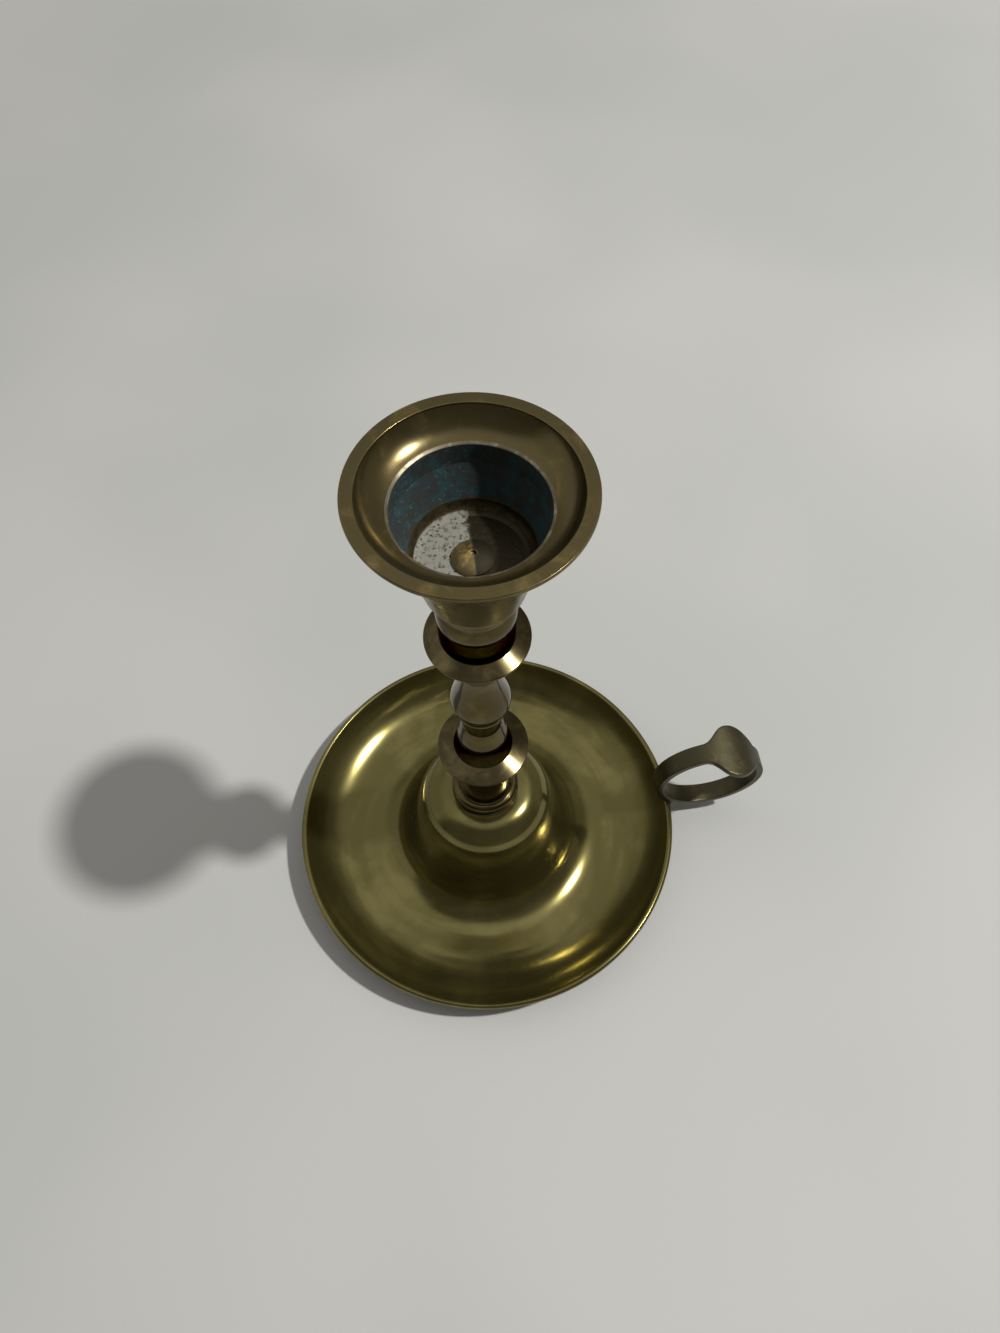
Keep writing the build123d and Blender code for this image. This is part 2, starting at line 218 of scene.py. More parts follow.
class Workpiece:
    """One mesh on the bench, shaped with the operators that a modeller would use by hand."""

    merge_reach = 0.5e-6

    def __init__(self, name: str) -> None:
        """Take the mesh that was added last as the workpiece."""
        self.object = bpy.context.object
        self.object.name = self.object.data.name = name

    @staticmethod
    def clear_bench() -> None:
        """Leave edit mode and deselect everything."""
        if bpy.context.object and bpy.context.object.mode != "OBJECT":
            bpy.ops.object.mode_set(mode="OBJECT")
        bpy.ops.object.select_all(action="DESELECT")

    @classmethod
    def drawn(cls, name: str, points: list[Vector]) -> "Workpiece":
        """Draw a chain of edges from point to point.

        Args:
            name: Name of the piece.
            points: Corners of the chain, in metres.

        Returns:
            The workpiece, in edit mode with its last point selected.
        """
        cls.clear_bench()
        bpy.ops.mesh.primitive_plane_add(size=MM, location=points[0])
        piece = cls(name)
        bpy.ops.object.transform_apply(location=True, rotation=True, scale=True)
        bpy.ops.object.mode_set(mode="EDIT")
        bpy.ops.mesh.select_mode(type="VERT")
        bpy.ops.mesh.select_all(action="SELECT")
        bpy.ops.mesh.merge(type="CENTER")
        for here, there in zip(points, points[1:]):
            bpy.ops.mesh.extrude_vertices_move(TRANSFORM_OT_translate={"value": there - here})
        return piece

    @classmethod
    def turned(cls, name: str, outline: Outline, steps: int) -> "Workpiece":
        """Turn an outline about the stem's axis.

        Args:
            name: Name of the piece.
            outline: Half outline in millimetres.
            steps: Facets round the axis.

        Returns:
            The workpiece, in object mode, smooth and facing outwards.
        """
        corners = [Vector((radius, 0, level)) * MM for radius, level in outline.points]
        piece = cls.drawn(name, corners)
        bpy.ops.mesh.select_all(action="SELECT")
        bpy.ops.mesh.spin(steps=steps, angle=FULL_TURN, center=(0, 0, 0), axis=(0, 0, 1))
        piece.close()
        return piece

    def edit(self) -> None:
        """Go into edit mode on this piece alone."""
        self.clear_bench()
        bpy.context.view_layer.objects.active = self.object
        self.object.select_set(True)
        bpy.ops.object.mode_set(mode="EDIT")
        bpy.ops.mesh.select_mode(type="VERT")

    def pick(self) -> None:
        """Go back to object mode with this piece alone selected."""
        self.clear_bench()
        bpy.context.view_layer.objects.active = self.object
        self.object.select_set(True)

    def close(self, smooth_angle: float = 40) -> None:
        """Merge doubles, face the surface outwards and shade it smooth.

        Args:
            smooth_angle: Angle in degrees past which an edge stays sharp.
        """
        self.edit()
        bpy.ops.mesh.select_all(action="SELECT")
        bpy.ops.mesh.remove_doubles(threshold=self.merge_reach)
        bpy.ops.mesh.normals_make_consistent(inside=False)
        self.pick()
        bpy.ops.object.shade_smooth_by_angle(angle=math.radians(smooth_angle))

    def apply(self, kind: str, **settings: object) -> None:
        """Add a modifier and apply it.

        Args:
            kind: Type of the modifier.
            **settings: Its settings.
        """
        self.pick()
        modifier = self.object.modifiers.new(kind.title(), kind)
        for name, value in settings.items():
            setattr(modifier, name, value)
        bpy.ops.object.modifier_apply(modifier=modifier.name)

    def cover_faces(self, wanted: Callable[[Vector, Vector], bool], slot: int) -> int:
        """Put a material on the faces whose centre and normal pass a test.

        Args:
            wanted: Function of a face's centre in metres and its normal.
            slot: Number of the material's slot.

        Returns:
            Number of faces that got it.
        """
        self.edit()
        bpy.ops.mesh.select_mode(type="FACE")
        bpy.ops.mesh.select_all(action="DESELECT")
        bpy.ops.object.mode_set(mode="OBJECT")
        count = 0
        for face in self.object.data.polygons:
            face.select = bool(wanted(face.center, face.normal))
            count += face.select
        bpy.ops.object.mode_set(mode="EDIT")
        self.object.active_material_index = slot
        bpy.ops.object.material_slot_assign()
        return count

    def dress(self, *materials: bpy.types.Material) -> None:
        """Put materials in the piece's slots."""
        for material in materials:
            self.object.data.materials.append(material)

    def settle(self) -> None:
        """Bring the object back to the origin, with its place, turn and scale in its mesh."""
        self.pick()
        bpy.ops.object.transform_apply(location=True, rotation=True, scale=True)

    def hand_over(self, slot: str, *nodes: str) -> None:
        """Fix the piece to the frame.

        Args:
            slot: Name of a material slot; not used.
            *nodes: Frame nodes that it stands for.
        """
        self.settle()
        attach(self.object, BODY)
        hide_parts(*nodes)
        faces = len(self.object.data.polygons)
        log.info("%s: %d faces, stands for %s", self.object.name, faces, ", ".join(nodes))


def radius_of(place: Vector) -> float:
    """Distance of a place from the stem's axis."""
    return math.hypot(place.x, place.y)


def faces_out(centre: Vector, normal: Vector) -> bool:
    """Whether a face looks away from the stem's axis."""
    return normal.x * centre.x + normal.y * centre.y > 0


def faces_in(centre: Vector, normal: Vector) -> bool:
    """Whether a face looks towards the stem's axis."""
    return normal.x * centre.x + normal.y * centre.y < 0


# ---------------------------------------------------------------- shader maths


class Signal:
    """A node socket that takes part in Python arithmetic."""

    def __init__(self, graph: "Graph", socket: bpy.types.NodeSocket) -> None:
        """Wrap a socket of a graph."""
        self.graph = graph
        self.socket = socket

    def output(self, name: str) -> "Signal":
        """Another output of the same node."""
        return Signal(self.graph, self.socket.node.outputs[name])

    def math(self, operation: str, *values: "Signal | float") -> "Signal":
        """Join values with a Math node."""
        return self.graph.add("Math", {"operation": operation}, dict(enumerate(values)))

    def __add__(self, other: "Signal | float") -> "Signal":
        """Sum."""
        return self.math("ADD", self, other)

    def __sub__(self, other: "Signal | float") -> "Signal":
        """Difference."""
        return self.math("SUBTRACT", self, other)

    def __rsub__(self, other: float) -> "Signal":
        """Difference from a number."""
        return self.math("SUBTRACT", other, self)

    def __mul__(self, other: "Signal | float") -> "Signal":
        """Product."""
        return self.math("MULTIPLY", self, other)

    def __truediv__(self, other: "Signal | float") -> "Signal":
        """Quotient."""
        return self.math("DIVIDE", self, other)

    def __rtruediv__(self, other: float) -> "Signal":
        """Quotient of a number."""
        return self.math("DIVIDE", other, self)

    __radd__ = __add__
    __rmul__ = __mul__

    def most(self, other: "Signal | float") -> "Signal":
        """Larger of two values."""
        return self.math("MAXIMUM", self, other)

    def ramp(self, low: float, high: float) -> "Signal":
        """Smooth mask from 0 at the low value to 1 at the high one, which may be the smaller.

        Args:
            low: Value where the mask is 0.
            high: Value where the mask is 1.

        Returns:
            The mask.
        """
        inputs = {"Value": self, "From Min": low, "From Max": high}
        return self.graph.add("MapRange", {"interpolation_type": "SMOOTHSTEP"}, inputs)


class Graph:
    """Node tree that is written as Python expressions."""

    def __init__(self, tree: bpy.types.NodeTree) -> None:
        """Start from an empty tree."""
        self.tree = tree
        tree.nodes.clear()

    @classmethod
    def of_material(cls, name: str) -> tuple["Graph", bpy.types.Material]:
        """Make a material and its graph."""
        material = bpy.data.materials.new(name)
        material.use_nodes = True
        return cls(material.node_tree), material

    def add(
        self,
        kind: str,
        settings: dict[str, object] | None = None,
        inputs: dict[object, object] | None = None,
    ) -> Signal:
        """Add a node.

        Args:
            kind: Type of the node without its prefix.
            settings: The node's own settings, which are set first.
            inputs: Values or signals for its sockets, by name or number.

        Returns:
            The node's first output.
        """
        node = self.tree.nodes.new("ShaderNode" + kind)
        for name, value in (settings or {}).items():
            setattr(node, name, value)
        for key, value in (inputs or {}).items():
            socket = node.inputs[key]
            if isinstance(value, Signal):
                self.tree.links.new(value.socket, socket)
            elif isinstance(value, tuple) and len(value) == 3 and len(socket.default_value) == 4:
                socket.default_value = (*value, 1)
            else:
                socket.default_value = value
        shown = [output for output in node.outputs if output.enabled]
        return Signal(self, shown[0] if shown else None)

    def place(self) -> Signal:
        """Place on the piece, in millimetres."""
        metres = self.add("TexCoord").output("Object")
        return self.vector("SCALE", metres, Scale=1 / MM)

    def vector(
        self, operation: str, first: object, second: object = None, **named: float
    ) -> Signal:
        """Join vectors with a Vector Math node."""
        inputs = {0: first, **named} if second is None else {0: first, 1: second, **named}
        return self.add("VectorMath", {"operation": operation}, inputs)

    def noise(
        self,
        place: Signal,
        size: float,
        detail: float = 2,
        roughness: float = 0.5,
        twist: float = 0,
    ) -> Signal:
        """Cloudy noise from 0 to 1.

        Args:
            place: Where it is read, in millimetres.
            size: Size of its clouds in millimetres.
            detail: Octaves.
            roughness: Strength of the finer octaves.
            twist: Distortion.

        Returns:
            The noise.
        """
        inputs = {"Vector": place, "Scale": 1 / size, "Detail": detail}
        inputs.update({"Roughness": roughness, "Distortion": twist})
        return self.add("TexNoise", None, inputs)

    def cells(self, place: Signal, size: float) -> Signal:
        """Distance to scattered points, in parts of their spacing."""
        return self.add("TexVoronoi", {"feature": "F1"}, {"Vector": place, "Scale": 1 / size})

    def blend(self, mask: "Signal | float", low: object, high: object) -> Signal:
        """Mix two colours by a mask.

        Args:
            mask: 0 for the first colour, 1 for the second.
            low: First colour or signal.
            high: Second colour or signal.

        Returns:
            The mixed colour.
        """
        node = self.tree.nodes.new("ShaderNodeMix")
        node.data_type = "RGBA"
        colours = [socket for socket in node.inputs if socket.type == "RGBA"]
        for socket, value in ((node.inputs[0], mask), (colours[0], low), (colours[1], high)):
            if isinstance(value, Signal):
                self.tree.links.new(value.socket, socket)
            else:
                socket.default_value = (*value, 1) if isinstance(value, tuple) else value
        return Signal(self, [socket for socket in node.outputs if socket.type == "RGBA"][0])

    def corners(self, reach: float, inside: bool = False) -> Signal:
        """How open a point is, from 0 in a deep corner, or on a sharp edge when read inside, to 1.

        Args:
            reach: How far the corner is felt, in millimetres.
            inside: Look into the metal, to find edges in place of corners.

        Returns:
            The openness.
        """
        settings = {"samples": 8, "only_local": True, "inside": inside}
        return self.add("AmbientOcclusion", settings, {"Distance": reach * MM}).output("AO")

    def bump(self, height: Signal, depth: float, below: Signal | None = None) -> Signal:
        """Normal of a height from 0 to 1.

        Args:
            height: The height.
            depth: Height of 1 in millimetres.
            below: Normal that it lies on.

        Returns:
            The normal.
        """
        inputs = {"Height": height, "Distance": depth * MM, "Strength": 1.0}
        if below is not None:
            inputs["Normal"] = below
        return self.add("Bump", None, inputs)

    def surface(
        self, colour: object, roughness: object, metallic: object, normal: Signal, **plain: object
    ) -> None:
        """Send the channels to a Principled shader.

        Args:
            colour: Base colour.
            roughness: Roughness.
            metallic: Metallic.
            normal: Normal.
            **plain: Uniform values of its other sockets, with _ for a space.
        """
        inputs = {"Base Color": colour, "Roughness": roughness, "Metallic": metallic}
        inputs["Normal"] = normal
        inputs.update({name.replace("_", " "): value for name, value in plain.items()})
        shader = self.add("BsdfPrincipled", None, inputs)
        self.add("OutputMaterial", None, {"Surface": shader})


# ---------------------------------------------------------------- finishes


class Grain(Enum):
    """Marks that the making left, as the size of a mark along its run and across it."""

    TURNED = (9.0, 0.16)
    BRUSHED = (3.0, 0.11)
    HAND = (2.2, 0.7)


@dataclass(frozen=True)
class BrassFinish:
    """Brass under a film of tarnish, with soil and painted shade in its corners, bright worn edges,
    and where asked a painted shadow across one side.
    """

    name: str
    bright: Colour
    film: Colour
    # Colour of the soil and painted shade in corners, and of any painted shadow across one side.
    soil: Colour
    roughness: float
    roughness_spread: float = 0.1
    film_cover: float = 0.5
    film_size: float = 7.0
    grain: Grain = Grain.TURNED
    grain_depth: float = 0.0006
    wave_size: float = 14.0
    wave_depth: float = 0.01
    soil_reach: float = 1.6
    edge_reach: float = 0.5
    edge_gain: float = 1.25
    metal: float = 1.0
    smear_run: float = 26.0
    smear_gauge: float = 3.2
    smear_share: float = 0.0
    # X in millimetres past which a painted shadow darkens the piece, if given.
    stain_from: float | None = None
    grazing_tint: Colour = (1.0, 1.0, 1.0)
    film_edge: Point = (0.75, 1.05)
    film_grit: float = 0.25
    corner_openness: Point = (0.62, 0.2)
    edge_openness: Point = (0.75, 0.4)
    stain_blur: float = 0.3
    smear_spread: float = 1.7
    soil_dulling: float = 0.25
    marks_per_turn: float = 36.0

    def material(self) -> bpy.types.Material:
        """Build the material.

        Returns:
            The material.
        """
        graph, material = Graph.of_material(self.name)
        place = graph.place()
        fine = graph.noise(self.grained_place(graph, place), 1.0, detail=3, roughness=0.6)
        clouds = graph.noise(place, self.film_size, detail=5, roughness=0.6, twist=0.6)
        smears = self.rings(graph, place, self.smear_run, self.smear_gauge)
        rubbed = graph.noise(smears, 1.0, detail=3, twist=0.5)
        clouds = clouds + (rubbed - NOISE_MIDDLE) * self.smear_share
        clouds = clouds + (fine - NOISE_MIDDLE) * self.film_grit
        film = clouds.ramp(*(edge - self.film_cover for edge in self.film_edge))
        colour = graph.blend(film, self.bright, self.film)
        # Soil and painted shade: where the AO finds a closed corner the colour goes dark, partly
        # real soil and partly shade painted in.
        soil = graph.corners(self.soil_reach).ramp(*self.corner_openness)
        # Painted shadow: beyond a given X the colour goes dark, standing in for a shadow that falls
        # across that side of the piece.
        if self.stain_from is not None:
            across = graph.add("SeparateXYZ", None, {"Vector": place}).output("X")
            low, high = self.stain_from - self.stain_blur, self.stain_from + self.stain_blur
            soil = soil.most(across.ramp(low, high))
        colour = graph.blend(soil, colour, self.soil)
        edge = graph.corners(self.edge_reach, inside=True).ramp(*self.edge_openness)
        worn = tuple(min(1.0, channel * self.edge_gain) for channel in self.bright)
        colour = graph.blend(edge, colour, worn)
        smear = graph.noise(place, self.film_size * self.smear_spread, detail=4, twist=1.2)
        roughness = self.roughness + (smear - NOISE_MIDDLE) * (2 * self.roughness_spread)
        roughness = roughness + soil * self.soil_dulling
        waves = graph.bump(graph.noise(place, self.wave_size, detail=1), self.wave_depth)
        normal = graph.bump(fine, self.grain_depth, waves)
        graph.surface(colour, roughness, self.metal, normal, Specular_Tint=self.grazing_tint)
        return material

    def grained_place(self, graph: Graph, place: Signal) -> Signal:
        """Stretch the place along the marks that the making left.

        Args:
            graph: Graph to build in.
            place: Place in millimetres.

        Returns:
            Place whose unit is the size of a mark.
        """
        along, across = self.grain.value
        if self.grain is Grain.HAND:
            return graph.vector("MULTIPLY", place, (1 / across, 1 / along, 1 / across))
        return self.rings(graph, place, along, across)

    def rings(self, graph: Graph, place: Signal, along: float, across: float) -> Signal:
        """Stretch the place round the stem's axis.

        Args:
            graph: Graph to build in.
            place: Place in millimetres.
            along: Size of a mark round the axis.
            across: Size of a mark outwards and upwards.

        Returns:
            Place whose unit is the size of a mark.
        """
        flat = graph.vector("MULTIPLY", place, (1.0, 1.0, 0.0))
        radius = graph.vector("LENGTH", flat).output("Value")
        level = graph.add("SeparateXYZ", None, {"Vector": place}).output("Z")
        rings = graph.add("CombineXYZ", None, {"X": radius / across, "Y": level / across})
        turn = self.marks_per_turn / along
        around = graph.vector("SCALE", graph.vector("NORMALIZE", flat), Scale=turn)
        return graph.vector("ADD", rings, around)


@dataclass(frozen=True)
class WellFinish:
    """Inside of the candle well: green crust on the wall, pale residue on the floor's -X half and a
    painted shadow in dark brown over its +X half.
    """

    name: str = "crusted well"
    crust: Colour = (0.024, 0.03, 0.028)
    crust_green: Colour = (0.014, 0.06, 0.07)
    speck: Colour = (0.2, 0.22, 0.2)
    residue: Colour = (0.26, 0.25, 0.21)
    step_brass: Colour = (0.13, 0.1, 0.045)
    # Dark brown of the step's patches and pits, and of the painted shadow on the floor's +X half.
    floor_brown: Colour = (0.045, 0.037, 0.021)
    wall_foot: float = 114.9
    floor_level: float = 112.9
    # X in millimetres where the pale residue gives way to the painted shadow.
    residue_edge: float = -0.1
    crusted_side: float = 5.0
    patch_size: float = 2.6
    fine_size: float = 0.7
    speck_size: float = 0.6
    pit_size: float = 0.9
    residue_raggedness: float = 3.5
    foot_raggedness: float = 1.2
    edge_blur: float = 0.5
    foot_blur: float = 0.3
    floor_blur: float = 0.1
    crust_depth: float = 0.09
    roughness: float = 0.85
    bare_shine: float = 0.35
    fine_shine: float = 0.1
    bare_metal: float = 0.9

    def material(self) -> bpy.types.Material:
        """Build the material.

        Returns:
            The material.
        """
        graph, material = Graph.of_material(self.name)
        place = graph.place()
        axes = graph.add("SeparateXYZ", None, {"Vector": place})
        across, level = axes.output("X"), axes.output("Z")
        patchy = graph.noise(place, self.patch_size, detail=6, roughness=0.65, twist=0.8)
        fine = graph.noise(place, self.fine_size, detail=4, roughness=0.7)
        crust = graph.blend(patchy.ramp(0.42, 0.66), self.crust, self.crust_green)
        specks = graph.noise(place, self.speck_size, detail=4, roughness=0.8).ramp(0.56, 0.68)
        crusted = across.ramp(self.crusted_side, -self.crusted_side)
        specks = specks * patchy.ramp(0.4, 0.55) * crusted
        crust = graph.blend(specks, crust, self.speck)
        # Painted shadow: past an X near the middle the floor is dark brown in place of pale
        # residue, standing in for the shadow over that half of the floor.
        ragged = across + (patchy - NOISE_MIDDLE) * self.residue_raggedness
        residue_lit_side = ragged.ramp(self.residue_edge + self.edge_blur, self.residue_edge - self.edge_blur)
        pits = graph.cells(place, self.pit_size).ramp(0.1, 0.3)
        residue = graph.blend(pits * fine.ramp(0.3, 0.5), self.floor_brown, self.residue)
        floor = graph.blend(residue_lit_side, self.floor_brown, residue)
        step = graph.blend(patchy.ramp(0.4, 0.7), self.step_brass, self.floor_brown)
        foot = level + (patchy - NOISE_MIDDLE) * self.foot_raggedness
        low = foot.ramp(self.wall_foot + self.foot_blur, self.wall_foot - self.foot_blur)
        bottom = level.ramp(self.floor_level + self.floor_blur, self.floor_level - self.floor_blur)
        colour = graph.blend(low, crust, graph.blend(bottom, step, floor))
        bare = low * (1 - bottom * residue_lit_side)
        roughness = self.roughness - bare * self.bare_shine - fine * self.fine_shine
        normal = graph.bump(fine + specks, self.crust_depth)
        graph.surface(colour, roughness, bare * self.bare_metal, normal)
        return material


@dataclass(frozen=True)
class SteelFinish:
    """Dull plated steel with a little rust."""

    name: str = "dull plated steel"
    plate: Colour = (0.42, 0.41, 0.39)
    rust: Colour = (0.16, 0.075, 0.035)
    blotch_size: float = 1.8
    fine_size: float = 0.15
    roughness: float = 0.38
    rust_dulling: float = 0.4
    rust_cover: float = 0.8
    rust_depth: float = 0.012

    def material(self) -> bpy.types.Material:
        """Build the material.

        Returns:
            The material.
        """
        graph, material = Graph.of_material(self.name)
        place = graph.place()
        blotch = graph.noise(place, self.blotch_size, detail=5, roughness=0.65)
        fine = graph.noise(place, self.fine_size, detail=3)
        rust = (blotch + (fine - NOISE_MIDDLE) * 0.3).ramp(0.56, 0.68)
        colour = graph.blend(rust, self.plate, self.rust)
        roughness = self.roughness + rust * self.rust_dulling
        normal = graph.bump(fine + rust, self.rust_depth)
        graph.surface(colour, roughness, 1 - rust * self.rust_cover, normal)
        return material


@dataclass(frozen=True)
class FloorFinish:
    """Plain pale cloth-grey floor."""

    name: str = "plain pale floor"
    pale: Colour = (0.54, 0.54, 0.53)
    shade: Colour = (0.49, 0.495, 0.48)
    drift_size: float = 160.0
    fibre_size: float = 0.6
    fibre_depth: float = 0.02
    roughness: float = 0.9
    gloss: float = 0.1

    def material(self) -> bpy.types.Material:
        """Build the material.

        Returns:
            The material.
        """
        graph, material = Graph.of_material(self.name)
        place = graph.place()
        drift = graph.noise(place, self.drift_size, detail=2)
        normal = graph.bump(graph.noise(place, self.fibre_size, detail=2), self.fibre_depth)
        colour = graph.blend(drift.ramp(0.35, 0.65), self.shade, self.pale)
        graph.surface(colour, self.roughness, 0.0, normal, Specular_IOR_Level=self.gloss)
        return material


# ---------------------------------------------------------------- sub-assemblies


@dataclass(frozen=True)
class Section:
    """A turned piece whose sides run from its foot up, in the order of its fields."""

    def sides(self) -> list[Side]:
        """Sides in order, from the foot up."""
        values = [getattr(self, entry.name) for entry in fields(self)]
        return [value for value in values if isinstance(value, Side)]

    def level_after(self, count: int) -> float:
        """Level above the foot after a number of sides, in millimetres."""
        return sum(side.rise for side in self.sides()[:count])

    def length(self) -> float:
        """Length of the section in millimetres."""
        return self.level_after(len(self.sides()))


@dataclass
class DripPan:
    """Dished pan with the mound that carries the stem."""

    node: str = "drip_pan"
    rim_radius: float = 43.5
    rim_height: float = 8.5
    wall: float = 1.5
    foot_inner: float = 27.0
    foot_outer: float = 30.0
    mound_height: float = 28.3
    seat_radius: float = 7.5
    hole_radius: float = 3.65
    dome_radius: float = 7.0
    dome_sweep: float = 72.0
    skirt_shares: tuple[Point, ...] = ((0.22, 0.45), (0.49, 0.11))
    edge_softness: float = 0.15
    dome_steps: int = 20
    skirt_steps: int = 16
    wall_steps: int = 28
    rim_steps: int = 12
    steps: int = 256
    finish: BrassFinish = BrassFinish(
        name="polished pan brass",
        bright=(0.225, 0.195, 0.074),
        film=(0.15, 0.128, 0.044),
        soil=(0.03, 0.022, 0.01),
        roughness=0.17,
        roughness_spread=0.07,
        film_cover=0.45,
        film_size=16.0,
        smear_share=0.45,
        edge_gain=3.4,
        edge_reach=0.9,
        metal=0.88,
        grain_depth=0.0004,
        wave_depth=0.03,
        wave_size=24.0,
    )

    def outline(self) -> Outline:
        """Closed half outline, from the seat down the mound, round the rim and back underneath.

        Returns:
            The outline.
        """
        mound = Outline(self.seat_radius, self.mound_height)
        dome_centre = (self.seat_radius, self.mound_height - self.dome_radius)
        dome_reach = (self.dome_radius, self.dome_radius)
        mound.ellipse(dome_centre, dome_reach, 90, 90 - self.dome_sweep, self.dome_steps)
        top_radius, top_level = mound.points[-1]
        run, rise = self.foot_inner - top_radius, top_level - self.wall
        knots = [(top_radius + x * run, self.wall + up * rise) for x, up in self.skirt_shares]
        knots.append((self.foot_inner, self.wall))
        slope = math.radians(self.dome_sweep)
        mound.through(knots, (math.cos(slope), -math.sin(slope)), self.skirt_steps, (1, 0))
        hollow = []
        upper = [Vector(point) for point in mound.points]
        for number, point in enumerate(upper):
            along = upper[min(number + 1, len(upper) - 1)] - upper[max(number - 1, 0)]
            at_end = number in (0, len(upper) - 1)
            along = Vector((1, 0)) if at_end else along.normalized()
            hollow.append(tuple(point + Vector((along.y, -along.x)) * self.wall))
        edge_radius, edge_level = self.rim_radius - self.wall / 2, self.rim_height - self.wall / 2
        half_wall = self.wall / 2
        run = edge_radius - self.foot_outer
        sweep = 2 * math.atan((edge_level - half_wall) / run)
        middle = run / math.sin(sweep)
        centre = (self.foot_outer, half_wall + middle)
        inner, outer, turned = middle - half_wall, middle + half_wall, 270 + math.degrees(sweep)
        mound.to(self.foot_outer, self.wall)
        mound.ellipse(centre, (inner, inner), 270, turned, self.wall_steps)
        edge, edge_reach = (edge_radius, edge_level), (half_wall, half_wall)
        mound.ellipse(edge, edge_reach, turned - 180, turned - 360, self.rim_steps)
        mound.ellipse(centre, (outer, outer), turned, 270, self.wall_steps)
        mound.points.extend(reversed(hollow))
        mound.to(self.hole_radius, self.mound_height - self.wall)
        mound.to(self.hole_radius, self.mound_height).to(self.seat_radius, self.mound_height)
        return mound.softened(self.edge_softness)

    def build(self) -> None:
        """Turn the pan and dress it."""
        pan = Workpiece.turned("drip_pan_brass", self.outline(), self.steps)
        pan.dress(self.finish.material())
        pan.hand_over("pan_brass", self.node)


@dataclass(frozen=True)
class StemFoot(Section):
    """Straight foot of the stem on its base ring."""

    ring: Side = Side(2.2, 6.2, 1.0)
    cove: Side = Side(0.8, 5.64, -0.2)
    straight: Side = Side(15.25, 5.64)
    chamfer: Side = Side(0.45, 5.19)
    start: float = 6.2


@dataclass(frozen=True)
class LowerKnop(Section):
    """Disc knop with its hub, collar, waist and crown."""

    lead: Side = Side(0.3, 5.19)
    underside: Side = Side(1.45, 9.1)
    land: Side = Side(0.35, 9.1)
    bevel: Side = Side(1.3, 5.86)
    hub: Side = Side(3.4, 4.75, -0.15)
    collar: Side = Side(3.2, 4.55, 0.25)
    shoulder: Side = Side(1.6, 4.28)
    taper: Side = Side(1.4, 3.8)
    waist: Side = Side(4.7, 3.8)
    flare: Side = Side(0.6, 4.6)
    crown: Side = Side(1.1, 4.6, 0.25)
    groove: Side = Side(0.5, 4.2)
    start: float = 5.19


@dataclass(frozen=True)
class Baluster:
    """Vase-shaped section that draws in to a slim neck."""

    joint_radius: float = 4.2
    foot: Side = Side(0.9, 4.6)
    undercut: Side = Side(1.3, 5.6, 0.3)
    body_height: float = 11.4
    body_shares: tuple[Point, ...] = ((0.77, 0.23), (0.41, 0.46))
    neck: Side = Side(5.6, 3.75)
    lip: Side = Side(0.4, 3.9)


@dataclass(frozen=True)
class UpperKnop(Section):
    """Disc knop on a cove, with the hub and the bead that carry the cup."""

    lead: Side = Side(1.0, 3.9)
    cove: Side = Side(1.9, 5.0, -0.3)
    underside: Side = Side(1.45, 8.9)
    land: Side = Side(0.35, 8.9)
    bevel: Side = Side(1.2, 6.35)
    hub: Side = Side(2.6, 6.35)
    taper: Side = Side(2.2, 6.0)
    step: Side = Side(0.2, 6.25)
    bead: Side = Side(3.7, 6.0, 0.4)
    chamfer: Side = Side(0.4, 5.9)
    start: float = 3.9


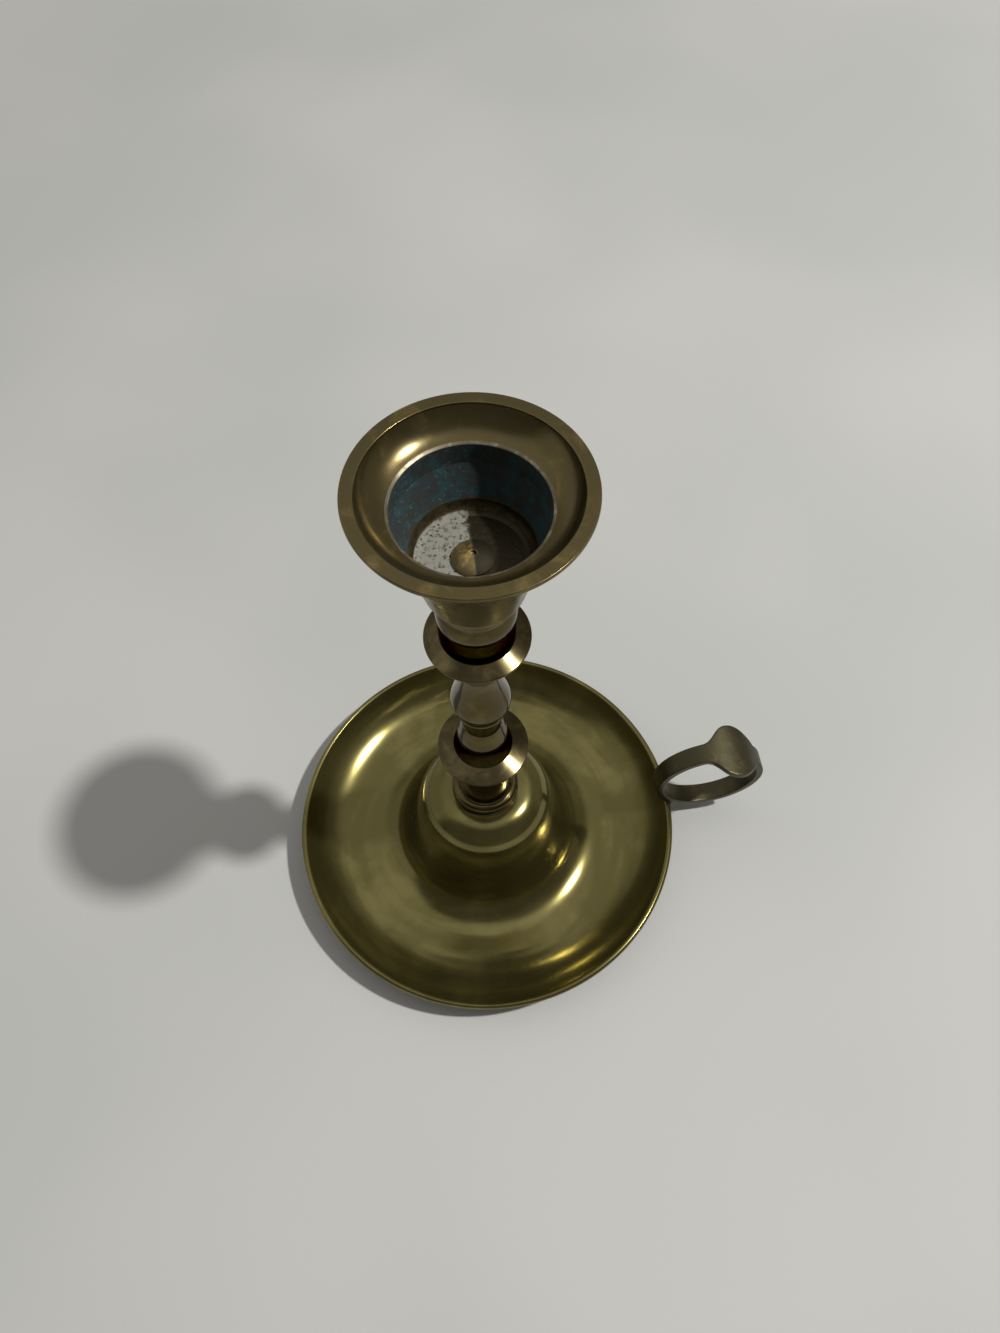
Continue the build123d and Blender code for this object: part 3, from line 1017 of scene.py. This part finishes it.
@dataclass
class Stem:
    """Four turned sections that the tie bolt pulls together."""

    foot: StemFoot = StemFoot()
    lower_knop: LowerKnop = LowerKnop()
    baluster: Baluster = Baluster()
    upper_knop: UpperKnop = UpperKnop()
    bolt_hole: float = 2.2
    socket_radius: float = 3.15
    socket_depth: float = 1.55
    spigot_radius: float = 3.1
    spigot_length: float = 1.4
    foot_spigot_radius: float = 3.6
    foot_spigot_length: float = 1.35
    edge_softness: float = 0.14
    steps: int = 192
    lower_disc_sides: int = 4
    upper_disc_sides: int = 5
    lower_dark_rise: float = 3.3
    upper_dark_rise: float = 4.8
    bevel_tilt: Point = (0.3, 0.99)
    hub_clearance: float = 2.0
    vase_steps: int = 12
    polished: BrassFinish = BrassFinish(
        name="polished stem brass",
        bright=(0.14, 0.11, 0.046),
        film=(0.095, 0.072, 0.029),
        soil=(0.02, 0.014, 0.007),
        roughness=0.13,
        roughness_spread=0.06,
        film_size=6.0,
        wave_depth=0.006,
    )
    brushed: BrassFinish = BrassFinish(
        name="brushed knop brass",
        bright=(0.175, 0.14, 0.066),
        film=(0.085, 0.068, 0.034),
        soil=(0.02, 0.014, 0.007),
        roughness=0.16,
        roughness_spread=0.06,
        film_size=4.0,
        grain=Grain.BRUSHED,
        grain_depth=0.0022,
        wave_depth=0.004,
    )
    # Painted reflection: near-black colour on the hubs stands in for the dark reflection their
    # mirror surfaces show; the grazing tint dims their reflection of the pale floor.
    dark: BrassFinish = BrassFinish(
        name="hub brass painted dark",
        bright=(0.04, 0.03, 0.01),
        film=(0.022, 0.016, 0.006),
        soil=(0.01, 0.007, 0.004),
        roughness=0.1,
        roughness_spread=0.04,
        film_size=3.0,
        edge_gain=3.0,
        grazing_tint=(0.42, 0.34, 0.18),
        wave_depth=0.004,
    )

    def section(self, node: str, outline: Outline, spigot: Point) -> Workpiece:
        """Turn one section with its bolt hole, top socket and spigot.

        Args:
            node: Frame node that it stands for.
            outline: Its outer half outline, standing on level 0.
            spigot: Radius and length of its spigot.

        Returns:
            The workpiece.
        """
        length = outline.points[-1][1]
        start = outline.points[0]
        socket_floor = length - self.socket_depth
        outline.to(self.socket_radius, length).to(self.socket_radius, socket_floor)
        outline.to(self.bolt_hole, socket_floor).to(self.bolt_hole, -spigot[1])
        outline.to(spigot[0], -spigot[1]).to(spigot[0], 0).to(*start)
        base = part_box(node)[1].z / MM - length
        raised = outline.softened(self.edge_softness)
        raised.points = [(radius, level + base) for radius, level in raised.points]
        return Workpiece.turned(f"{node}_brass", raised, self.steps)

    def brush(self, piece: Workpiece, knop: LowerKnop | UpperKnop) -> None:
        """Give the bevelled top of a knop's disc its brushed finish.

        Args:
            piece: The knop.
            knop: Its sizes.
        """
        inner, outer = knop.bevel.radius * MM, knop.land.radius * MM
        piece.cover_faces(
            lambda centre, normal: self.bevel_tilt[0] < normal.z < self.bevel_tilt[1]
            and inner < radius_of(centre) < outer,
            1,
        )

    def darken(self, piece: Workpiece, low: float, high: float, reach: float) -> None:
        """Paint the hub above a knop's disc near-black, a painted reflection standing in for the
        dark surroundings its mirror surface reflects.

        Args:
            piece: The knop.
            low: Lowest level of the hub in millimetres.
            high: Highest level.
            reach: Radius past which nothing belongs to the hub.
        """
        piece.cover_faces(
            lambda centre, normal: low * MM < centre.z < high * MM
            and self.socket_radius * MM < radius_of(centre) < reach * MM
            and faces_out(centre, normal),
            2,
        )

    def build(self) -> None:
        """Turn the four sections and dress them."""
        finishes = (self.polished, self.brushed, self.dark)
        polished, brushed, dark = (finish.material() for finish in finishes)
        plain_spigot = (self.spigot_radius, self.spigot_length)
        foot = self.section(
            "stem_foot",
            Outline(self.foot.start, 0).sides(self.foot.sides()),
            (self.foot_spigot_radius, self.foot_spigot_length),
        )
        foot.dress(polished)
        foot.hand_over("stem_brass", "stem_foot")
        knops = (
            ("lower_knop", self.lower_knop, self.lower_disc_sides, self.lower_dark_rise),
            ("upper_knop", self.upper_knop, self.upper_disc_sides, self.upper_dark_rise),
        )
        for node, knop, disc_sides, dark_rise in knops:
            piece = self.section(node, Outline(knop.start, 0).sides(knop.sides()), plain_spigot)
            piece.dress(polished, brushed, dark)
            self.brush(piece, knop)
            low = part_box(node)[1].z / MM - knop.length() + knop.level_after(disc_sides)
            self.darken(piece, low, low + dark_rise, knop.land.radius - self.hub_clearance)
            piece.hand_over("stem_brass", node)
        vase = self.baluster
        neck_level = vase.foot.rise + vase.undercut.rise + vase.body_height
        outline = Outline(vase.joint_radius, 0).side(vase.foot).side(vase.undercut)
        belly_level, swell = outline.points[-1][1], vase.undercut.radius - vase.neck.radius
        knots = [
            (vase.neck.radius + out * swell, belly_level + up * vase.body_height)
            for out, up in vase.body_shares
        ]
        knots.append((vase.neck.radius, neck_level))
        outline.through(knots, (0, 1), self.vase_steps).side(vase.neck).side(vase.lip)
        body = self.section("baluster", outline, plain_spigot)
        body.dress(polished)
        body.hand_over("stem_brass", "baluster")


@dataclass(frozen=True)
class CupOutside(Section):
    """Outside of the candle cup, from its joint up to the lip."""

    neck: Side = Side(2.5, 6.2)
    ring_cove: Side = Side(1.0, 7.4, -0.2)
    ring: Side = Side(1.0, 7.4, 0.2)
    groove: Side = Side(0.2, 7.3)
    groove_top: Side = Side(0.2, 8.0)
    body: Side = Side(14.1, 12.6, -0.38)
    flare: Side = Side(6.8, 17.25, -0.45)
    lip: Side = Side(0.8, 17.25, 0.12)


@dataclass(frozen=True)
class CupInside(Section):
    """Inside of the candle cup, from the lip down to the well's floor."""

    land: Side = Side(0.0, 15.35)
    step: Side = Side(-0.3, 15.35)
    flare: Side = Side(-3.3, 11.6, -0.5)
    edge: Side = Side(-0.25, 11.15)
    bore: Side = Side(-3.75, 11.15)
    taper: Side = Side(-5.9, 9.25)
    round: Side = Side(-2.2, 7.8, -0.5)
    floor: Side = Side(0.0, 2.2)


@dataclass
class CandleCup:
    """Cup with a flared mouth and a crusted candle well."""

    node: str = "candle_cup"
    outside: CupOutside = CupOutside()
    inside: CupInside = CupInside()
    joint_radius: float = 5.9
    spigot_radius: float = 3.1
    spigot_length: float = 1.4
    edge_softness: float = 0.16
    edge_half_height: float = 0.2
    edge_slack: Point = (0.01, 0.35)
    upward: float = 0.9
    steps: int = 224
    brass: BrassFinish = BrassFinish(
        name="cup brass",
        bright=(0.26, 0.19, 0.072),
        film=(0.12, 0.095, 0.04),
        soil=(0.03, 0.022, 0.01),
        roughness=0.22,
        edge_gain=1.8,
        metal=0.85,
        roughness_spread=0.09,
        film_cover=0.55,
        film_size=5.0,
        grain_depth=0.001,
        wave_depth=0.008,
    )
    outside_brass: BrassFinish = BrassFinish(
        name="dull cup underside",
        bright=(0.3, 0.23, 0.1),
        film=(0.19, 0.148, 0.068),
        soil=(0.03, 0.022, 0.01),
        roughness=0.3,
        film_size=4.0,
        metal=0.75,
        edge_gain=1.6,
        grain_depth=0.001,
    )
    worn_edge: BrassFinish = BrassFinish(
        name="worn bore edge",
        bright=(0.36, 0.32, 0.23),
        film=(0.12, 0.1, 0.065),
        soil=(0.1, 0.08, 0.05),
        roughness=0.4,
        film_size=3.0,
        metal=0.6,
    )
    well: WellFinish = WellFinish()

    def build(self) -> None:
        """Turn the cup and dress its brass and its well."""
        length = self.outside.length()
        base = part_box(self.node)[1].z / MM - length
        outline = Outline(self.joint_radius, base)
        outline.sides(self.outside.sides()).sides(self.inside.sides())
        outline.to(self.inside.floor.radius, base - self.spigot_length)
        outline.to(self.spigot_radius, base - self.spigot_length)
        outline.to(self.spigot_radius, base).to(self.joint_radius, base)
        cup = Workpiece.turned("candle_cup_brass", outline.softened(self.edge_softness), self.steps)
        materials = (self.brass, self.well, self.worn_edge, self.outside_brass)
        cup.dress(*[finish.material() for finish in materials])
        well_top = (base + length + self.inside.step.rise + self.inside.flare.rise) * MM
        reach = (self.inside.bore.radius + self.edge_softness) * MM
        hole = self.inside.floor.radius * MM
        cup.cover_faces(
            lambda centre, normal: base * MM < centre.z < well_top
            and hole < radius_of(centre) < reach
            and (faces_in(centre, normal) or normal.z > self.upward),
            1,
        )
        edge_level = well_top + self.inside.edge.rise / 2 * MM
        inner = (self.inside.bore.radius - self.edge_slack[0]) * MM
        outer = reach + self.edge_slack[1] * MM
        cup.cover_faces(
            lambda centre, normal: abs(centre.z - edge_level) < self.edge_half_height * MM
            and inner < radius_of(centre) < outer
            and faces_in(centre, normal),
            2,
        )
        lip_foot = (base + length - self.outside.lip.rise) * MM
        cup.cover_faces(
            lambda centre, normal: base * MM < centre.z < lip_foot
            and radius_of(centre) > hole
            and faces_out(centre, normal),
            3,
        )
        cup.hand_over("stem_brass", self.node)


@dataclass
class TieBolt:
    """Long bolt from the well's floor to the nut, with its washer and nut."""

    node: str = "tie_bolt"
    radius: float = 2.0
    head_radius: float = 3.2
    head_edge: float = 0.5
    head_dome: float = 1.1
    mark_radius: float = 0.5
    mark_depth: float = 0.5
    tip_chamfer: float = 0.4
    dome_steps: int = 16
    edge_softness: float = 0.12
    steps: int = 96
    brass: BrassFinish = BrassFinish(
        name="turned bolt brass",
        bright=(0.5, 0.37, 0.13),
        film=(0.2, 0.15, 0.07),
        soil=(0.034, 0.028, 0.016),
        roughness=0.42,
        film_size=1.5,
        soil_reach=0.5,
        metal=0.8,
        # Painted shadow over the head's +X half.
        stain_from=0.0,
    )
    steel: SteelFinish = SteelFinish()

    def build(self) -> None:
        """Turn the bolt, dress it, and dress the washer and the nut."""
        low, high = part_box(self.node)
        tip, crown = low.z / MM, high.z / MM
        shoulder = crown - self.head_dome
        sphere = (self.head_radius**2 + self.head_dome**2) / (2 * self.head_dome)
        head_foot = shoulder - self.head_edge
        outline = Outline(0, tip).to(self.radius - self.tip_chamfer, tip)
        outline.to(self.radius, tip + self.tip_chamfer).to(self.radius, head_foot)
        outline.to(self.head_radius, head_foot).to(self.head_radius, shoulder)
        first = math.asin(self.head_radius / sphere)
        last = math.asin(self.mark_radius / sphere)
        for number in range(1, self.dome_steps + 1):
            angle = first + (last - first) * number / self.dome_steps
            outline.to(sphere * math.sin(angle), crown - sphere + sphere * math.cos(angle))
        outline.to(self.mark_radius, crown - self.mark_depth).to(0, crown - self.mark_depth)
        bolt = Workpiece.turned("tie_bolt_brass", outline.softened(self.edge_softness), self.steps)
        bolt.dress(self.brass.material())
        bolt.hand_over("bolt_brass", self.node)
        steel = self.steel.material()
        for node in ("tie_washer", "tie_nut"):
            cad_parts[node].material_slots[0].material = steel
            log.info("%s: frame node in %s", node, steel.name)


@dataclass
class FingerLoop:
    """Strap loop with its thumb rest and the braze that holds it."""

    inner_reach: float = 10.6
    inner_rise: float = 11.15
    thickness: float = 1.6
    width: float = 4.3
    thumb_tail: float = 4.2
    thumb_tip: float = 9.3
    thumb_half_width: float = 6.1
    thumb_shares: tuple[Point, ...] = (
        (0.16, 0.05),
        (0.31, 0.47),
        (0.45, 0.89),
        (0.60, 1.00),
        (0.76, 0.84),
        (0.90, 0.46),
    )
    thumb_tip_heading: Point = (0.25, -1)
    band_steps: int = 6
    spare_width: float = 1.0
    cutter_steps: int = 8
    cutter_foot: float = 2.0
    cutter_height: float = 20.0
    grid: float = 0.15
    smoothing: float = 0.5
    smoothing_rounds: int = 8
    smooth_angle: float = 80.0
    braze_radius: float = 1.2
    braze_half_width: float = 3.05
    braze_divisions: int = 5
    ripple_size: float = 1.1
    ripple_depth: float = 0.35
    ripple_middle: float = 0.6
    ring_steps: int = 160
    strap_finish: BrassFinish = BrassFinish(
        name="tarnished strap brass",
        bright=(0.17, 0.14, 0.07),
        film=(0.09, 0.08, 0.045),
        soil=(0.035, 0.032, 0.025),
        roughness=0.42,
        roughness_spread=0.12,
        film_cover=0.6,
        film_size=3.2,
        grain=Grain.HAND,
        grain_depth=0.035,
        wave_size=3.5,
        wave_depth=0.06,
        edge_gain=1.35,
    )
    braze_finish: BrassFinish = BrassFinish(
        name="dark braze",
        bright=(0.12, 0.11, 0.07),
        film=(0.07, 0.066, 0.045),
        soil=(0.03, 0.028, 0.02),
        roughness=0.5,
        roughness_spread=0.12,
        film_cover=0.6,
        film_size=1.4,
        grain=Grain.HAND,
        grain_depth=0.06,
        wave_size=1.5,
        wave_depth=0.1,
    )
    centre: Vector = field(init=False)

    def __post_init__(self) -> None:
        """Find the loop's centre from the frame."""
        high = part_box("finger_loop")[1] / MM
        reach, rise = self.inner_reach + self.thickness, self.inner_rise + self.thickness
        self.centre = Vector((high.x - reach, 0, high.z - rise))

    def band(self, name: str, width: float) -> Workpiece:
        """Elliptical band about the finger hole.

        Args:
            name: Name of the piece.
            width: Width of the band in millimetres.

        Returns:
            The workpiece.
        """
        Workpiece.clear_bench()
        upright = (math.pi / 2, 0, 0)
        bpy.ops.mesh.primitive_circle_add(
            vertices=self.ring_steps, radius=MM, location=self.centre * MM, rotation=upright
        )
        band = Workpiece(name)
        band.settle()
        band.edit()
        bpy.ops.mesh.select_all(action="SELECT")
        centre = self.centre * MM
        size = (self.inner_reach, 1, self.inner_rise)
        bpy.ops.transform.resize(value=size, center_override=centre)
        bpy.ops.transform.translate(value=(0, -width / 2 * MM, 0))
        step = (0, width / self.band_steps * MM, 0)
        for _ in range(self.band_steps):
            bpy.ops.mesh.extrude_region_move(TRANSFORM_OT_translate={"value": step})
        bpy.ops.mesh.select_all(action="SELECT")
        bpy.ops.mesh.remove_doubles(threshold=Workpiece.merge_reach)
        bpy.ops.mesh.normals_make_consistent(inside=False)
        band.pick()
        face = band.object.data.polygons[0]
        offset = 1 if (face.center - centre).dot(face.normal) > 0 else -1
        band.apply("SOLIDIFY", thickness=self.thickness * MM, offset=offset, use_even_offset=True)
        band.close()
        return band

    def thumb_cutter(self) -> Workpiece:
        """Prism over the thumb rest's plan, to cut the rest out of a wide band.

        Returns:
            The prism.
        """
        half_width = self.width / 2
        length, flare = self.thumb_tail + self.thumb_tip, self.thumb_half_width - half_width
        knots = [
            (along * length - self.thumb_tail, half_width + across * flare)
            for along, across in self.thumb_shares
        ]
        edge = Outline(-self.thumb_tail, half_width)
        knots.append((self.thumb_tip, half_width))
        edge.through(knots, (1, 0), self.cutter_steps, self.thumb_tip_heading)
        plan = [*edge.points, *[(along, -across) for along, across in reversed(edge.points)]]
        base = self.centre + Vector((0, 0, self.cutter_foot))
        corners = [(base + Vector((*point, 0))) * MM for point in plan]
        cutter = Workpiece.drawn("thumb_cutter", corners)
        bpy.ops.mesh.select_all(action="SELECT")
        bpy.ops.mesh.edge_face_add()
        rise = (0, 0, self.cutter_height * MM)
        bpy.ops.mesh.extrude_region_move(TRANSFORM_OT_translate={"value": rise})
        cutter.close()
        return cutter

    def build_strap(self, material: bpy.types.Material) -> None:
        """Bend the strap, beat out its thumb rest, soften it and dress it.

        Args:
            material: Its finish.
        """
        strap = self.band("finger_loop_strap", self.width)
        cutter = self.thumb_cutter()
        rest = self.band("thumb_rest", 2 * (self.thumb_half_width + self.spare_width))
        rest.apply("BOOLEAN", operation="INTERSECT", object=cutter.object, solver="EXACT")
        bpy.data.objects.remove(cutter.object)
        strap.pick()
        strap.apply("BOOLEAN", operation="UNION", object=rest.object, solver="EXACT")
        bpy.data.objects.remove(rest.object)
        strap.apply("REMESH", mode="VOXEL", voxel_size=self.grid * MM)
        strap.apply("SMOOTH", factor=self.smoothing, iterations=self.smoothing_rounds)
        strap.close(self.smooth_angle)
        strap.dress(material)
        strap.hand_over("loop_brass", "finger_loop")

    def build_braze(self, material: bpy.types.Material) -> None:
        """Melt a lump of braze into the corner of strap and rim.

        Args:
            material: Its finish.
        """
        low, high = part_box("loop_braze")
        Workpiece.clear_bench()
        middle = (low + high) / 2
        bpy.ops.mesh.primitive_ico_sphere_add(
            subdivisions=self.braze_divisions, radius=MM, location=middle
        )
        lump = Workpiece("loop_braze_metal")
        lump.settle()
        lump.edit()
        bpy.ops.mesh.select_all(action="SELECT")
        size = (self.braze_radius, self.braze_half_width, self.braze_radius)
        bpy.ops.transform.resize(value=size, center_override=middle)
        lump.pick()
        cloud = bpy.data.textures.new("braze ripples", "CLOUDS")
        cloud.noise_scale = self.ripple_size * MM
        settings = {"strength": self.ripple_depth * MM, "mid_level": self.ripple_middle}
        lump.apply("DISPLACE", texture=cloud, texture_coords="LOCAL", **settings)
        lump.close(self.smooth_angle)
        lump.dress(material)
        lump.hand_over("braze_metal", "loop_braze")

    def build(self) -> None:
        """Build the strap and its braze."""
        self.build_strap(self.strap_finish.material())
        self.build_braze(self.braze_finish.material())


# ---------------------------------------------------------------- studio


@dataclass(frozen=True)
class Lamp:
    """Round lamp, by where it stands from the object and how much light it gives the floor."""

    name: str
    azimuth: float
    elevation: float
    distance: float
    diameter: float
    share: float
    colour: Colour = (1.0, 0.99, 0.97)

    def hang(self) -> None:
        """Add the lamp, aimed at the object."""
        azimuth, elevation = math.radians(self.azimuth), math.radians(self.elevation)
        towards = Vector((math.cos(azimuth), math.sin(azimuth), 0)) * math.cos(elevation)
        towards.z = math.sin(elevation)
        data = bpy.data.lights.new(self.name, "AREA")
        data.shape = "DISK"
        data.size = self.diameter
        data.color = self.colour
        data.energy = math.pi**2 * self.share * self.distance**2 / math.sin(elevation)
        lamp = bpy.data.objects.new(self.name, data)
        lamp.location = towards * self.distance
        lamp.rotation_euler = towards.to_track_quat("Z", "Y").to_euler()
        bpy.context.scene.collection.objects.link(lamp)


@dataclass
class Studio:
    """Plain floor, soft light and the camera at the photograph's angle."""

    floor_size: float = 6.0
    floor_finish: FloorFinish = FloorFinish()
    lamp: Lamp = Lamp("key lamp", -9.5, 59.3, 1.3, 0.065, 0.66)
    ceiling: Colour = (0.62, 0.61, 0.59)
    left_wall: Colour = (0.5, 0.49, 0.47)
    right_wall: Colour = (0.22, 0.21, 0.185)
    far_wall: Colour = (0.27, 0.26, 0.235)
    behind_viewer: Colour = (0.1, 0.1, 0.09)
    backdrop: Colour = (0.6, 0.595, 0.57)
    right_from: Point = (0.2, 0.6)
    left_from: Point = (-0.3, -0.6)
    ceiling_from: Point = (0.6, 0.85)
    viewer_from: Point = (-0.08, -0.3)
    viewer_below: Point = (0.97, 0.85)
    viewpoint: tuple[float, float, float] = (-6.63, -84.24, 230.9)
    yaw: float = 6.95
    pitch: float = 60.69
    roll: float = 0.87
    sensor: float = 36.0
    frame_pixels: tuple[int, int] = (1000, 1333)
    focal_pixels: float = 1000.0
    clip: Point = (0.01, 20.0)

    def lay_floor(self) -> None:
        """Lay the floor."""
        Workpiece.clear_bench()
        bpy.ops.mesh.primitive_plane_add(size=self.floor_size)
        floor = Workpiece("pale_floor")
        floor.dress(self.floor_finish.material())

    def light_world(self) -> None:
        """Light the room softly, and show the metal a pale ceiling, a pale wall and dark sides."""
        world = bpy.data.worlds.new("plain studio")
        bpy.context.scene.world = world
        world.use_nodes = True
        graph = Graph(world.node_tree)
        direction = graph.add("TexCoord").output("Generated")
        axes = graph.add("SeparateXYZ", None, {"Vector": direction})
        across, forward, up = axes.output("X"), axes.output("Y"), axes.output("Z")
        seen = graph.blend(across.ramp(*self.right_from), self.far_wall, self.right_wall)
        seen = graph.blend(across.ramp(*self.left_from), seen, self.left_wall)
        seen = graph.blend(up.ramp(*self.ceiling_from), seen, self.ceiling)
        viewer = forward.ramp(*self.viewer_from) * up.ramp(*self.viewer_below)
        seen = graph.blend(viewer, seen, self.behind_viewer)
        rays = graph.add("LightPath")
        light = graph.blend(rays.output("Is Camera Ray"), seen, self.backdrop)
        background = graph.add("Background", None, {"Color": light, "Strength": 1.0})
        graph.add("OutputWorld", None, {"Surface": background})

    def set_camera(self) -> None:
        """Put the camera where the photograph was taken from."""
        yaw, pitch, roll = (math.radians(angle) for angle in (self.yaw, self.pitch, self.roll))
        forward = Vector((math.sin(yaw), math.cos(yaw), 0)) * math.cos(pitch)
        forward.z = -math.sin(pitch)
        level = Vector((math.cos(yaw), -math.sin(yaw), 0))
        down = forward.cross(level)
        right = level * math.cos(roll) + down * math.sin(roll)
        down = down * math.cos(roll) - level * math.sin(roll)
        data = bpy.data.cameras.new("viewpoint")
        data.sensor_width = self.sensor
        data.lens = self.sensor * self.focal_pixels / max(self.frame_pixels)
        data.clip_start, data.clip_end = self.clip
        camera = bpy.data.objects.new("viewpoint", data)
        turn = Matrix((right, -down, -forward)).transposed().to_4x4()
        camera.matrix_world = Matrix.Translation(Vector(self.viewpoint) * MM) @ turn
        bpy.context.scene.collection.objects.link(camera)
        bpy.context.scene.camera = camera

    def build(self) -> None:
        """Set up floor, lights, world, camera and view."""
        self.lay_floor()
        self.lamp.hang()
        self.light_world()
        self.set_camera()
        bpy.context.scene.view_settings.view_transform = "Standard"
        log.info("studio: lamp, room, floor and camera")


def main() -> None:
    """Build the chamberstick piece by piece, then the studio round it."""
    logging.basicConfig(level=logging.INFO, format="%(name)s: %(message)s")
    for assembly in (DripPan(), Stem(), CandleCup(), TieBolt(), FingerLoop(), Studio()):
        assembly.build()


if __name__ == "__main__":
    main()
